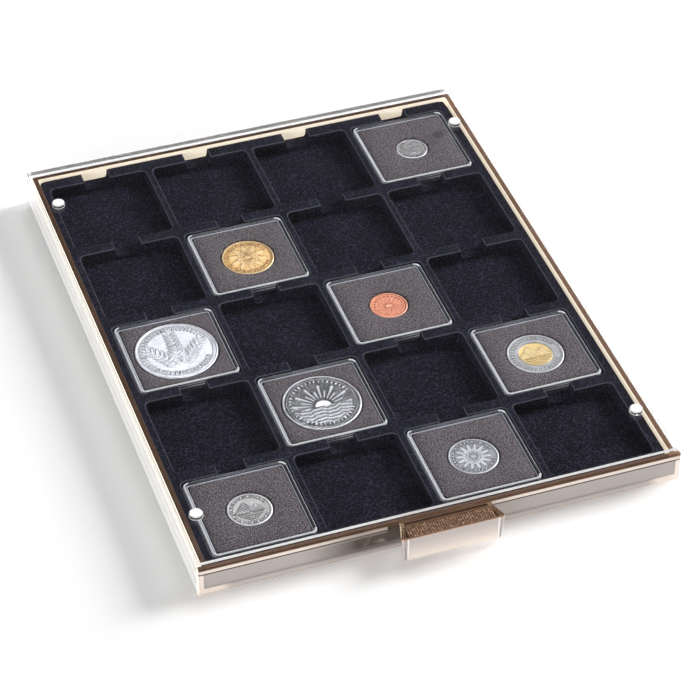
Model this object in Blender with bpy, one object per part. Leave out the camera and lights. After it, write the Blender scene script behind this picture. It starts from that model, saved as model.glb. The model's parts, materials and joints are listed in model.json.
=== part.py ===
# Coin display case: a clear stacking housing, a smoke-tinted sliding drawer with a pull,
# a flocked formed insert of square compartments, and square coin capsules lying in it.
# Metres, +Z up, +Y towards the closed back. The origin is the middle of the footprint.
import math

import bmesh
import bpy

for old in list(bpy.data.objects):
    bpy.data.objects.remove(old, do_unlink=True)

# Square coin capsules and their coins
CAPSULE_SIDE = 0.050
CAPSULE_HEIGHT = 0.00625
CAPSULE_CORNER = 0.003
CAPSULE_PLATE = 0.0007
CAPSULE_SKIRT = 0.0008
CAPSULE_UPSTAND = 0.0009
COIN_CLEARANCE = 0.0005
COIN_MIDDLE_DROP = 0.00145
COIN_RIM_WIDTH = 0.0009
COIN_RIM_RISE = 0.00022

# Formed insert
COLUMNS = 4
ROWS = 5
CELL_CLEARANCE = 0.0008
CELL_CORNER = 0.0028
CELL_DRAFT = 0.0003
COLUMN_DIVIDER = 0.0034
ROW_DIVIDER = 0.0064
CELL_DEPTH = 0.00705
NOTCH_WIDTH = 0.0136
NOTCH_DEPTH = 0.0051
NOTCH_CORNER = 0.0016
FLANGE_LEFT = 0.00387
FLANGE_RIGHT = 0.00468
FLANGE_FRONT = 0.00408
FLANGE_BACK = 0.00732
INSERT_SHEET = 0.0008
INSERT_CORNER = 0.0034
INSERT_STAND = 0.00395

# Play of the loose insert in the drawer
GAP_LEFT = 0.0003
GAP_RIGHT = 0.00105
GAP_FRONT = 0.0003
GAP_BACK = 0.0005

# Drawer
DRAWER_WALL = 0.0024
DRAWER_BASE = 0.0018
DRAWER_DEPTH = 0.01255
DRAWER_CORNER = 0.0012
PANEL_THICKNESS = 0.0025
PANEL_RISE = 0.00025
PANEL_FOOT_GAP = 0.0003
PANEL_EDGE = 0.0006

# Pull on the drawer's front
PULL_REACH = 0.0115
PULL_FRONT_WIDTH = 0.0502
PULL_NECK_WIDTH = 0.0444
PULL_NECK_REACH = 0.0027
PULL_HEIGHT = 0.0133
PULL_TOP = 0.0019
PULL_WALL = 0.0018
PULL_DRAFT = 0.0011
PULL_CORNER = 0.0010
PULL_ARCH = 0.0046
PULL_POCKET_DEPTH = 0.0008
PULL_POCKET_RIM = 0.0010

# Housing
HOUSING_WALL = 0.0018
HOUSING_PLATE = 0.0016
HOUSING_LIP = 0.0016
HOUSING_LIP_WIDTH = 0.0129
HOUSING_CORNER = 0.0015
SLIDE_CLEARANCE_SIDE = 0.00055
SLIDE_CLEARANCE_TOP = 0.00045
SLIDE_CLEARANCE_REAR = 0.0015
PEG_DIAMETER = 0.0064
PEG_HEIGHT = 0.0019
PEG_EDGE = 0.0003
PEG_INSET_SIDE = 0.0091
PEG_INSET_BACK = 0.0313
PEG_INSET_FRONT = 0.0324
SOCKET_CLEARANCE = 0.0003

# Clearance between resting pieces, and how far a cutter runs past what it cuts
SEAT = 0.0003
OVERRUN = 0.001

# Steps of a round corner, and sides of a round piece
CORNER_STEPS = 3
ROUND_SIDES = 32

# Capsules: row from the back, column from the left, and the coin's metal; then the coin's
# diameter and thickness; then the shares of its play that the capsule lies off the middle by
CAPSULE_PLACES = ((1, 4, "silver"), (2, 2, "gold"), (3, 1, "silver"), (3, 3, "copper"),
                  (4, 2, "silver"), (4, 4, "steel"), (5, 1, "nickel"), (5, 3, "silver"))
COIN_SIZES = ((0.0165, 0.00122), (0.0265, 0.00175), (0.0406, 0.00298), (0.0190, 0.00145),
              (0.0380, 0.00300), (0.0280, 0.00180), (0.0212, 0.00176), (0.0239, 0.00158))
CAPSULE_PLAY_SHARES = ((0.5, 0.5), (0.2, -0.5), (0.1, 0.3), (-0.5, -0.5),
                       (-0.3, -0.5), (-0.3, 0.3), (0.1, 0.3), (0.0, 0.3))
TWO_METAL_CAPSULE = (4, 4)
TWO_METAL_CORE = 0.0168
TWO_METAL_JOINT = 0.00015

# Compartment grid
cell = CAPSULE_SIDE + 2 * CELL_CLEARANCE
pitch_x = cell + COLUMN_DIVIDER
pitch_y = cell + ROW_DIVIDER
insert_width = FLANGE_LEFT + COLUMNS * pitch_x - COLUMN_DIVIDER + FLANGE_RIGHT
insert_depth = FLANGE_FRONT + ROWS * pitch_y - ROW_DIVIDER + FLANGE_BACK

# Widths, from the middle of the case outwards
drawer_inner_half = (GAP_LEFT + insert_width + GAP_RIGHT) / 2
drawer_half = drawer_inner_half + DRAWER_WALL
housing_inner_half = drawer_half + SLIDE_CLEARANCE_SIDE
housing_half = housing_inner_half + HOUSING_WALL

# Depths, from the pull's front to the housing's back
drawer_inner_depth = GAP_FRONT + insert_depth + GAP_BACK
case_depth = (PANEL_THICKNESS + drawer_inner_depth + DRAWER_WALL
              + SLIDE_CLEARANCE_REAR + HOUSING_WALL)
pull_front_y = -(PULL_REACH + case_depth) / 2
panel_front_y = pull_front_y + PULL_REACH
panel_back_y = panel_front_y + PANEL_THICKNESS
drawer_inner_back_y = panel_back_y + drawer_inner_depth
drawer_back_y = drawer_inner_back_y + DRAWER_WALL
housing_front_y = panel_back_y + SEAT
housing_inner_back_y = drawer_back_y + SLIDE_CLEARANCE_REAR
housing_back_y = housing_inner_back_y + HOUSING_WALL

# Heights, from the surface that the case stands on
drawer_bottom_z = HOUSING_LIP + SEAT
drawer_floor_z = drawer_bottom_z + DRAWER_BASE
drawer_top_z = drawer_floor_z + DRAWER_DEPTH
plate_bottom_z = drawer_top_z + SLIDE_CLEARANCE_TOP
housing_top_z = plate_bottom_z + HOUSING_PLATE
panel_top_z = drawer_top_z + PANEL_RISE
insert_bottom_z = drawer_floor_z + SEAT
cell_floor_z = drawer_floor_z + INSERT_STAND
insert_top_z = cell_floor_z + CELL_DEPTH
capsule_bottom_z = cell_floor_z + SEAT

# Insert edges and the first compartment at the back left
insert_left_x = -drawer_inner_half + GAP_LEFT
insert_right_x = insert_left_x + insert_width
insert_front_y = panel_back_y + GAP_FRONT
insert_back_y = insert_front_y + insert_depth
first_cell_x = insert_left_x + FLANGE_LEFT + cell / 2
first_cell_y = insert_back_y - FLANGE_BACK - cell / 2


def material(name, colour, roughness, metallic=0.0, alpha=1.0):
    """A Principled material of one colour."""
    made = bpy.data.materials.new(name)
    made.use_nodes = True
    shader = made.node_tree.nodes["Principled BSDF"]
    shader.inputs["Base Color"].default_value = (*colour, 1.0)
    shader.inputs["Roughness"].default_value = roughness
    shader.inputs["Metallic"].default_value = metallic
    shader.inputs["Alpha"].default_value = alpha
    return made


def add_object(name, bm, finish=None):
    """Turn a bmesh into an object in the scene."""
    bmesh.ops.recalc_face_normals(bm, faces=bm.faces)
    mesh = bpy.data.meshes.new(name)
    bm.to_mesh(mesh)
    bm.free()
    made = bpy.data.objects.new(name, mesh)
    bpy.context.scene.collection.objects.link(made)
    if finish:
        mesh.materials.append(finish)
    return made


def as_cutter(made):
    """Keep a shape out of the finished model and show it as a wire."""
    made.hide_render = True
    made.display_type = "WIRE"
    return made


def add_boolean(made, operation, other):
    """Cut, join or intersect an object with another one."""
    step = made.modifiers.new(other.name, "BOOLEAN")
    step.operation = operation
    step.solver = "EXACT"
    step.object = as_cutter(other)


def rounded_outline(left, right, front, back, radius, steps=CORNER_STEPS):
    """Points of a rectangle with round corners, anticlockwise seen from above."""
    corners = ((right, back, 0), (left, back, 1), (left, front, 2), (right, front, 3))
    points = []
    for x, y, quarter in corners:
        centre_x = x - math.copysign(radius, x - (left + right) / 2)
        centre_y = y - math.copysign(radius, y - (front + back) / 2)
        for step in range(steps + 1):
            angle = (quarter + step / steps) * math.pi / 2
            points.append((centre_x + radius * math.cos(angle),
                           centre_y + radius * math.sin(angle)))
    return points


def add_loft(bm, levels):
    """Join like outlines, each given with its height, into one closed solid."""
    rings = []
    for points, z in levels:
        rings.append([bm.verts.new((x, y, z)) for x, y in points])
    for low, high in zip(rings, rings[1:]):
        for index, corner in enumerate(low):
            after = (index + 1) % len(low)
            bm.faces.new((corner, low[after], high[after], high[index]))
    bm.faces.new(list(reversed(rings[0])))
    bm.faces.new(rings[-1])


def circle_outline(x, y, radius, sides=ROUND_SIDES):
    """Points of a circle, anticlockwise seen from above."""
    turn = 2 * math.pi / sides
    return [(x + radius * math.cos(turn * n), y + radius * math.sin(turn * n))
            for n in range(sides)]


def block(name, left, right, front, back, radius, bottom_z, top_z, finish=None):
    """A block with round upright corners."""
    bm = bmesh.new()
    outline = rounded_outline(left, right, front, back, radius)
    add_loft(bm, ((outline, bottom_z), (outline, top_z)))
    return add_object(name, bm, finish)


def cell_centre(row, column):
    """Middle of a compartment, counted from the back left."""
    return (first_cell_x + (column - 1) * pitch_x, first_cell_y - (row - 1) * pitch_y)


clear_plastic = material("clear_polystyrene", (0.93, 0.95, 0.95), 0.06, alpha=0.25)
smoke_plastic = material("smoke_polystyrene", (0.24, 0.16, 0.12), 0.10, alpha=0.7)
velvet = material("navy_velvet", (0.012, 0.013, 0.028), 0.95)
capsule_plastic = material("capsule_polystyrene", (0.90, 0.91, 0.95), 0.05, alpha=0.25)
foam = material("grey_foam", (0.11, 0.10, 0.10), 0.9)
metals = {
    "silver": material("coin_silver", (0.62, 0.62, 0.62), 0.3, 1.0),
    "nickel": material("coin_nickel", (0.46, 0.46, 0.45), 0.35, 1.0),
    "steel": material("coin_steel", (0.55, 0.56, 0.56), 0.3, 1.0),
    "gold": material("coin_gold", (0.80, 0.55, 0.16), 0.3, 1.0),
    "copper": material("coin_copper", (0.62, 0.25, 0.13), 0.35, 1.0),
}


def build_housing():
    """Clear housing: cover, side and back walls, runner lips, pegs and their sockets."""
    housing = block("housing", -housing_half, housing_half, housing_front_y, housing_back_y,
                    HOUSING_CORNER, 0, housing_top_z, clear_plastic)
    hollow = block("housing_hollow", -housing_inner_half, housing_inner_half,
                   housing_front_y - 2 * HOUSING_CORNER - OVERRUN, housing_inner_back_y,
                   HOUSING_CORNER, HOUSING_LIP, plate_bottom_z)
    window_half = housing_inner_half - HOUSING_LIP_WIDTH
    window = block("housing_window", -window_half, window_half,
                   housing_front_y - 2 * HOUSING_CORNER - OVERRUN,
                   housing_inner_back_y - HOUSING_LIP_WIDTH,
                   HOUSING_CORNER, -OVERRUN, HOUSING_LIP + OVERRUN)
    add_boolean(housing, "DIFFERENCE", hollow)
    add_boolean(housing, "DIFFERENCE", window)
    peg_x = housing_half - PEG_INSET_SIDE
    peg_ys = (housing_back_y - PEG_INSET_BACK, panel_front_y + PEG_INSET_FRONT)
    pegs = bmesh.new()
    sockets = bmesh.new()
    peg_radius = PEG_DIAMETER / 2
    for x in (-peg_x, peg_x):
        for y in peg_ys:
            outline = circle_outline(x, y, peg_radius)
            chamfer = circle_outline(x, y, peg_radius - PEG_EDGE)
            add_loft(pegs, ((outline, housing_top_z - HOUSING_PLATE / 2),
                            (outline, housing_top_z + PEG_HEIGHT - PEG_EDGE),
                            (chamfer, housing_top_z + PEG_HEIGHT)))
            socket = circle_outline(x, y, peg_radius + SOCKET_CLEARANCE)
            add_loft(sockets, ((socket, -OVERRUN), (socket, HOUSING_LIP + OVERRUN)))
    add_boolean(housing, "UNION", add_object("housing_pegs", pegs))
    add_boolean(housing, "DIFFERENCE", add_object("housing_sockets", sockets))
    return housing


def pull_outline(inset, draft):
    """Plan of the pull: a neck at the panel that flares to the front edge."""
    neck = PULL_NECK_WIDTH / 2 - inset - draft
    wide = PULL_FRONT_WIDTH / 2 - inset - draft
    front = pull_front_y + inset
    neck_y = panel_front_y - PULL_NECK_REACH
    root_y = panel_front_y + PANEL_THICKNESS / 2
    half = [(neck, root_y), (neck, neck_y), (wide, front + PULL_CORNER)]
    half.append((wide - PULL_CORNER, front))
    return [(-x, y) for x, y in half] + list(reversed(half))


def build_pull():
    """Hollow pull, open below, with arched sides and a shallow pocket on top."""
    bottom_z = panel_top_z - SEAT - PULL_HEIGHT
    top_z = panel_top_z - SEAT
    shell = bmesh.new()
    add_loft(shell, ((pull_outline(0, PULL_DRAFT), bottom_z), (pull_outline(0, 0), top_z)))
    pull = add_object("drawer_pull", shell)
    inside = bmesh.new()
    add_loft(inside, ((pull_outline(PULL_WALL, PULL_DRAFT), bottom_z - OVERRUN),
                      (pull_outline(PULL_WALL, 0), top_z - PULL_TOP)))
    hollow = add_object("pull_hollow", inside)
    add_boolean(hollow, "DIFFERENCE", block(
        "pull_hollow_stop", -PULL_FRONT_WIDTH, PULL_FRONT_WIDTH, panel_front_y,
        panel_back_y + OVERRUN, PANEL_EDGE, bottom_z - 2 * OVERRUN, top_z + OVERRUN))
    add_boolean(pull, "DIFFERENCE", hollow)
    arch = bmesh.new()
    middle_y = (panel_front_y + pull_front_y + PULL_WALL) / 2
    reach = (panel_front_y - pull_front_y - PULL_WALL) / 2
    ring = []
    for y, rise in circle_outline(0, 0, 1, ROUND_SIDES // 2):
        ring.append((middle_y + y * reach, bottom_z + rise * PULL_ARCH))
    ends = []
    for x in (-PULL_FRONT_WIDTH, PULL_FRONT_WIDTH):
        ends.append([arch.verts.new((x, y, z)) for y, z in ring])
    for index in range(len(ring)):
        after = (index + 1) % len(ring)
        arch.faces.new((ends[0][index], ends[0][after], ends[1][after], ends[1][index]))
    arch.faces.new(ends[0])
    arch.faces.new(list(reversed(ends[1])))
    add_boolean(pull, "DIFFERENCE", add_object("pull_arch", arch))
    pocket_back_y = panel_front_y - PULL_NECK_REACH
    pocket_front_y = pull_front_y + PULL_POCKET_RIM
    back_half = PULL_NECK_WIDTH / 2 - 2 * PULL_POCKET_RIM
    front_half = PULL_FRONT_WIDTH / 2 - 2 * PULL_POCKET_RIM
    pocket_plan = ((front_half, pocket_front_y), (back_half, pocket_back_y),
                   (-back_half, pocket_back_y), (-front_half, pocket_front_y))
    pocket = bmesh.new()
    add_loft(pocket, ((pocket_plan, top_z - PULL_POCKET_DEPTH), (pocket_plan, top_z + OVERRUN)))
    add_boolean(pull, "DIFFERENCE", add_object("pull_pocket", pocket))
    return pull


def build_drawer():
    """Smoke-tinted drawer: tray and front panel moulded in one with the pull."""
    drawer = block("drawer", -drawer_half, drawer_half,
                   panel_back_y - PANEL_THICKNESS / 2, drawer_back_y,
                   DRAWER_CORNER, drawer_bottom_z, drawer_top_z, smoke_plastic)
    inside = block("drawer_inside", -drawer_inner_half, drawer_inner_half,
                   panel_back_y, drawer_inner_back_y,
                   DRAWER_CORNER, drawer_floor_z, drawer_top_z + OVERRUN)
    add_boolean(drawer, "DIFFERENCE", inside)
    bottom_z = PANEL_FOOT_GAP
    panel = bmesh.new()
    outer = rounded_outline(-housing_half, housing_half, bottom_z, panel_top_z, PANEL_EDGE)
    inner = rounded_outline(-housing_half + PANEL_EDGE, housing_half - PANEL_EDGE,
                            bottom_z + PANEL_EDGE, panel_top_z - PANEL_EDGE, PANEL_EDGE)
    rings = []
    for points, y in ((inner, panel_front_y), (outer, panel_front_y + PANEL_EDGE),
                      (outer, panel_back_y)):
        rings.append([panel.verts.new((x, y, z)) for x, z in points])
    for here, there in zip(rings, rings[1:]):
        for index in range(len(here)):
            after = (index + 1) % len(here)
            panel.faces.new((here[index], here[after], there[after], there[index]))
    panel.faces.new(rings[0])
    panel.faces.new(list(reversed(rings[-1])))
    add_boolean(drawer, "UNION", add_object("drawer_panel", panel))
    add_boolean(drawer, "UNION", build_pull())
    return drawer


def add_cells(bm, grow, floor_z, top_z):
    """Add the round-cornered tapering space of every compartment."""
    for row in range(1, ROWS + 1):
        for column in range(1, COLUMNS + 1):
            x, y = cell_centre(row, column)
            levels = []
            for half, z in ((cell / 2 + grow - CELL_DRAFT, floor_z), (cell / 2 + grow, top_z)):
                outline = rounded_outline(x - half, x + half, y - half, y + half,
                                          CELL_CORNER + grow)
                levels.append((outline, z))
            add_loft(bm, levels)


def add_notches(bm, grow, floor_z, top_z):
    """Add the finger notches across the row dividers and the back flange."""
    for row in range(1, ROWS + 1):
        for column in range(1, COLUMNS + 1):
            x, y = cell_centre(row, column)
            half = NOTCH_WIDTH / 2 + grow
            near = y + cell / 2 - CELL_CORNER - SEAT
            far = y + cell / 2 + ROW_DIVIDER + CELL_CORNER
            if row == 1:
                far = insert_back_y + OVERRUN
            outline = ((x + half, far), (x - half, far), (x - half, near), (x + half, near))
            foot = half - NOTCH_CORNER
            low = ((x + foot, far), (x - foot, far), (x - foot, near), (x + foot, near))
            add_loft(bm, ((low, floor_z), (outline, floor_z + NOTCH_CORNER), (outline, top_z)))


def build_insert():
    """Flocked sheet formed over its compartments, hollow and open underneath."""
    insert = block("velvet_insert", insert_left_x, insert_right_x, insert_front_y, insert_back_y,
                   INSERT_CORNER, insert_bottom_z, insert_top_z, velvet)
    cells = bmesh.new()
    add_cells(cells, 0, cell_floor_z, insert_top_z + OVERRUN)
    add_boolean(insert, "DIFFERENCE", add_object("insert_cells", cells))
    notches = bmesh.new()
    add_notches(notches, 0, insert_top_z - NOTCH_DEPTH, insert_top_z + 2 * OVERRUN)
    add_boolean(insert, "DIFFERENCE", add_object("insert_notches", notches))
    core = block("insert_core", insert_left_x + INSERT_SHEET, insert_right_x - INSERT_SHEET,
                 insert_front_y + INSERT_SHEET, insert_back_y - INSERT_SHEET,
                 INSERT_CORNER - INSERT_SHEET, insert_bottom_z - OVERRUN,
                 insert_top_z - INSERT_SHEET)
    core_cells = bmesh.new()
    add_cells(core_cells, INSERT_SHEET, cell_floor_z - INSERT_SHEET, insert_top_z + OVERRUN)
    add_boolean(core, "DIFFERENCE", add_object("core_cells", core_cells))
    core_notches = bmesh.new()
    add_notches(core_notches, INSERT_SHEET, insert_top_z - NOTCH_DEPTH - INSERT_SHEET,
                insert_top_z + 2 * OVERRUN)
    add_boolean(core, "DIFFERENCE", add_object("core_notches", core_notches))
    add_boolean(insert, "DIFFERENCE", core)
    return insert


def build_coin(name, x, y, bottom_z, radius, hole_radius, thickness, finish):
    """A struck disc or ring with a raised rim on both faces."""
    rim = radius - COIN_RIM_WIDTH
    inner = rim - COIN_RIM_RISE
    top_z = bottom_z + thickness
    profile = [(radius, bottom_z), (radius, top_z), (rim, top_z), (inner, top_z - COIN_RIM_RISE)]
    if hole_radius:
        profile += [(hole_radius, top_z - COIN_RIM_RISE), (hole_radius, bottom_z + COIN_RIM_RISE)]
    profile += [(inner, bottom_z + COIN_RIM_RISE), (rim, bottom_z)]
    bm = bmesh.new()
    rings = []
    for r, z in profile:
        rings.append([bm.verts.new((px, py, z)) for px, py in circle_outline(x, y, r)])
    pairs = list(zip(rings, rings[1:] + rings[:1]))
    if not hole_radius:
        pairs.remove((rings[3], rings[4]))
        bm.faces.new(rings[3])
        bm.faces.new(list(reversed(rings[4])))
    for here, there in pairs:
        for index in range(ROUND_SIDES):
            after = (index + 1) % ROUND_SIDES
            bm.faces.new((here[index], here[after], there[after], there[index]))
    return add_object(name, bm, finish)


def build_core(name, x, y, bottom_z, radius, thickness, finish):
    """The plain disc set in the middle of a two-metal coin."""
    bm = bmesh.new()
    outline = circle_outline(x, y, radius)
    add_loft(bm, ((outline, bottom_z), (outline, bottom_z + thickness)))
    return add_object(name, bm, finish)


def add_cup(bm, plate, wall_outer, wall_inner, bottom_z, floor_z, wall_z):
    """A capsule base: a plate with an upstand inside its edge."""
    add_loft(bm, ((plate, bottom_z), (plate, floor_z), (wall_outer, floor_z),
                  (wall_outer, wall_z), (wall_inner, wall_z), (wall_inner, floor_z)))


def add_cap(bm, plate, skirt_inner, skirt_z, ceiling_z, top_z):
    """A capsule lid: a plate with a skirt around its edge."""
    add_loft(bm, ((plate, top_z), (plate, skirt_z), (skirt_inner, skirt_z),
                  (skirt_inner, ceiling_z)))


def build_capsule(place, size, play_shares):
    """One capsule: base, lid, foam inlay and coin, each a piece of its own."""
    row, column, metal = place
    diameter, thickness = size
    x, y = cell_centre(row, column)
    play = CELL_CLEARANCE - CELL_DRAFT
    x += play * play_shares[0]
    y += play * play_shares[1]
    tag = f"{row}_{column}"
    half = CAPSULE_SIDE / 2
    top_z = capsule_bottom_z + CAPSULE_HEIGHT
    seat_z = capsule_bottom_z + CAPSULE_PLATE

    def square(inset):
        return rounded_outline(x - half + inset, x + half - inset, y - half + inset,
                               y + half - inset, CAPSULE_CORNER - inset)

    wall_out = CAPSULE_SKIRT + SEAT
    wall_in = wall_out + CAPSULE_UPSTAND
    upstand_z = top_z - CAPSULE_PLATE - SEAT
    base = bmesh.new()
    add_cup(base, square(0), square(wall_out), square(wall_in), capsule_bottom_z, seat_z,
            upstand_z)
    add_object(f"capsule_{tag}_base", base, capsule_plastic)
    lid = bmesh.new()
    add_cap(lid, square(0), square(CAPSULE_SKIRT), seat_z + SEAT, top_z - CAPSULE_PLATE, top_z)
    add_object(f"capsule_{tag}_lid", lid, capsule_plastic)

    foam_inset = wall_in + SEAT
    foam_bottom_z = seat_z + SEAT
    foam_top_z = top_z - CAPSULE_PLATE - SEAT
    foam_outline = rounded_outline(x - half + foam_inset, x + half - foam_inset,
                                   y - half + foam_inset, y + half - foam_inset,
                                   CAPSULE_CORNER - wall_in)
    inlay = bmesh.new()
    add_loft(inlay, ((foam_outline, foam_bottom_z), (foam_outline, foam_top_z)))
    foam_piece = add_object(f"capsule_{tag}_foam", inlay, foam)
    coin_bottom_z = foam_top_z - COIN_MIDDLE_DROP - thickness / 2
    pocket = bmesh.new()
    pocket_outline = circle_outline(x, y, diameter / 2 + COIN_CLEARANCE)
    add_loft(pocket, ((pocket_outline, coin_bottom_z - SEAT),
                      (pocket_outline, foam_top_z + OVERRUN)))
    add_boolean(foam_piece, "DIFFERENCE", add_object(f"foam_pocket_{tag}", pocket))

    two_metal = (row, column) == TWO_METAL_CAPSULE
    ring_radius = TWO_METAL_CORE / 2 + TWO_METAL_JOINT if two_metal else 0
    build_coin(f"coin_{tag}", x, y, coin_bottom_z, diameter / 2, ring_radius, thickness,
               metals[metal])
    if two_metal:
        build_core(f"coin_{tag}_core", x, y, coin_bottom_z + COIN_RIM_RISE, TWO_METAL_CORE / 2,
                   thickness - 2 * COIN_RIM_RISE, metals["gold"])


build_housing()
build_drawer()
build_insert()
for capsule in zip(CAPSULE_PLACES, COIN_SIZES, CAPSULE_PLAY_SHARES):
    build_capsule(*capsule)
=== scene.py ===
# Coin display case, seen from the front left: a clear stacking housing, a smoke-tinted
# drawer with a flocked insert, and coins in square capsules.
import json
import math

import bmesh
import bpy
import numpy as np
from mathutils import Euler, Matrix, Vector

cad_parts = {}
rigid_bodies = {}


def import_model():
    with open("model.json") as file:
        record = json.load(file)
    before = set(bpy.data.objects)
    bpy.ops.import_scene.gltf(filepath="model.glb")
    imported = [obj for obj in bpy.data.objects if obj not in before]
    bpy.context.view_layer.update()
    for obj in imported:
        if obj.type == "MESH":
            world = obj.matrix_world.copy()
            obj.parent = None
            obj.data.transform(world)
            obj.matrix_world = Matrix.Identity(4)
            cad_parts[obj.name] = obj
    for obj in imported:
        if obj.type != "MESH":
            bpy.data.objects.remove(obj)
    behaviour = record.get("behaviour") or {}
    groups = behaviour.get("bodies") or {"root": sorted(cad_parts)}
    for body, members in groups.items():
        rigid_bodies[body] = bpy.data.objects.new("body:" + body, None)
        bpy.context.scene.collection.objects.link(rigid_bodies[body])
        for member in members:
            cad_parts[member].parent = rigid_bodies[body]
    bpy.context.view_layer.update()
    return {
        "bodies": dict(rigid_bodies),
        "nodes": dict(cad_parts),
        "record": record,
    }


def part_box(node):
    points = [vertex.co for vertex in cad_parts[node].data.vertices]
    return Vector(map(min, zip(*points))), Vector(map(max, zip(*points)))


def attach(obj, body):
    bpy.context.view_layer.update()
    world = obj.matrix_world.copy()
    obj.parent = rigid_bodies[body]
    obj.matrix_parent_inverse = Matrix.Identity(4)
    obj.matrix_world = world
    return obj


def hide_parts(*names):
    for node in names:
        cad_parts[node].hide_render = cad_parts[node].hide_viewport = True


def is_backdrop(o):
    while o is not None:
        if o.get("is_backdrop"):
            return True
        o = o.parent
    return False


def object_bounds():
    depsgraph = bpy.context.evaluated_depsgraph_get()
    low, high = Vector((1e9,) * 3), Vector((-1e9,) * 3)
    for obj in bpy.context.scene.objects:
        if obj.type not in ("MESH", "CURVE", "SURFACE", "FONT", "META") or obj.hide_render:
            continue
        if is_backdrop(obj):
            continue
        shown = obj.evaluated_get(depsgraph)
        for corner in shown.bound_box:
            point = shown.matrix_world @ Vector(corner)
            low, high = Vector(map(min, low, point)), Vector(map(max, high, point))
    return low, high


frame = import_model()
nodes = frame["nodes"]


# Camera. The photograph was taken with a long lens from the front left, 41 degrees above
# the table, so the case's edges run almost parallel.
photo_lens = bpy.data.cameras.new("photo_camera")
photo_lens.sensor_width = 36.0
photo_lens.lens = 147.74
photo_lens.clip_start = 0.1
photo_lens.clip_end = 20.0
photo_camera = bpy.data.objects.new("photo_camera", photo_lens)
photo_camera.location = (-0.35958, -1.01515, 0.93432)
photo_camera.rotation_euler = Euler((0.852638, -0.007822, -0.338454))
bpy.context.scene.collection.objects.link(photo_camera)
bpy.context.scene.camera = photo_camera


# Table and studio. The case stands on matt white paper in a dim room. The lamp on the right
# gives its soft shadow, one high at the back makes the coins shine, and a low one in front and
# a bright ring overhead fill in; the cover mirrors nothing bright to the camera.
def hex_colour(text):
    """An sRGB hex colour as linear red, green, blue and alpha."""
    shares = [int(text[n:n + 2], 16) / 255 for n in (0, 2, 4)]
    return (*(s / 12.92 if s <= 0.04045 else ((s + 0.055) / 1.055) ** 2.4 for s in shares), 1)


def add_node(tree, kind, settings=None, stops=(), **links):
    """Add a node with its settings, a ramp's stops, and values or links for its inputs.

    An input goes by its name, or by n and its number where names repeat. A colour is hex
    text, and a node given for an input links the first output that it has in use.
    """
    made = tree.nodes.new(kind)
    for name, value in (settings or {}).items():
        setattr(made, name, value)
    if stops:
        ramp = made.color_ramp.elements
        ramp.remove(ramp[1])
        ramp[0].position = stops[0][0]
        for n, (position, tone) in enumerate(stops):
            stop = ramp.new(position) if n else ramp[0]
            stop.color = hex_colour(tone) if isinstance(tone, str) else (tone, tone, tone, 1)
    for name, value in links.items():
        if name[0] == "n" and name[1:].isdigit():
            socket = made.inputs[int(name[1:])]
        else:
            name = name.replace("_", " ")
            socket = next(s for s in made.inputs if s.enabled and s.name == name)
        if isinstance(value, bpy.types.Node):
            value = next(s for s in value.outputs if s.enabled)
        if isinstance(value, bpy.types.NodeSocket):
            tree.links.new(value, socket)
        else:
            socket.default_value = hex_colour(value) if isinstance(value, str) else value
    return made


def new_material(name):
    """An empty node material and its tree."""
    made = bpy.data.materials.new(name)
    made.use_nodes = True
    made.node_tree.nodes.clear()
    return made, made.node_tree


def dress(piece, *finishes):
    """Give a new piece its materials, which its faces count from 0."""
    for finish in finishes:
        piece.data.materials.append(finish)


paper, tree = new_material("matt_white_paper")
path = add_node(tree, "ShaderNodeLightPath")
mirrored = add_node(tree, "ShaderNodeMath", {"operation": "MAXIMUM"},
                    n0=path.outputs["Is Glossy Ray"], n1=path.outputs["Is Transmission Ray"])

# Away from the case, where the lamps fall off, the camera sees more of the paper's own white
lamplit, faded = 0.24, 0.6
where = add_node(tree, "ShaderNodeTexCoord")
distance = add_node(tree, "ShaderNodeVectorMath", {"operation": "LENGTH"},
                    Vector=where.outputs["Object"])
own_white = add_node(tree, "ShaderNodeMapRange", Value=distance, From_Min=lamplit,
                     From_Max=faded, To_Min=0.11, To_Max=0.75)
lift = add_node(tree, "ShaderNodeMath", {"operation": "MULTIPLY"},
                n0=path.outputs["Is Camera Ray"], n1=own_white)
lift = add_node(tree, "ShaderNodeMath", {"operation": "MULTIPLY_ADD"}, n0=mirrored, n1=0.45,
                n2=lift)
shade = add_node(tree, "ShaderNodeBsdfDiffuse", Color="F4F4F4")
glow = add_node(tree, "ShaderNodeEmission", Color="FFFFFF", Strength=lift)
both = add_node(tree, "ShaderNodeAddShader", n0=shade, n1=glow)
add_node(tree, "ShaderNodeOutputMaterial", Surface=both)

sheet_half = 3
sheet_data = bpy.data.meshes.new("paper_sheet")
sheet_data.from_pydata([(x * sheet_half, y * sheet_half, 0)
                        for x, y in ((-1, -1), (1, -1), (1, 1), (-1, 1))], [], [(0, 1, 2, 3)])
paper_sheet = bpy.data.objects.new("paper_sheet", sheet_data)
bpy.context.scene.collection.objects.link(paper_sheet)
dress(paper_sheet, paper)
paper_sheet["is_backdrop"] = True

studio = bpy.data.worlds.new("studio")
bpy.context.scene.world = studio
studio.use_nodes = True
tree = studio.node_tree
tree.nodes.clear()
where = add_node(tree, "ShaderNodeTexCoord")
height = add_node(tree, "ShaderNodeSeparateXYZ", Vector=where.outputs["Generated"])
room_bands = ((0.0, 0.5), (0.28, 0.5), (0.42, 0.05), (0.80, 0.05), (0.85, 0.2), (0.955, 0.2),
              (0.98, 0.08), (1.0, 0.08))
room_tone = add_node(tree, "ShaderNodeValToRGB", stops=room_bands, Fac=height.outputs["Z"])
path = add_node(tree, "ShaderNodeLightPath")
low_down = add_node(tree, "ShaderNodeMath", {"operation": "LESS_THAN"}, n0=height.outputs["Z"],
                    n1=0.3)
seen_through = add_node(tree, "ShaderNodeMath", {"operation": "MULTIPLY"},
                        n0=path.outputs["Is Transmission Ray"], n1=low_down)
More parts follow.
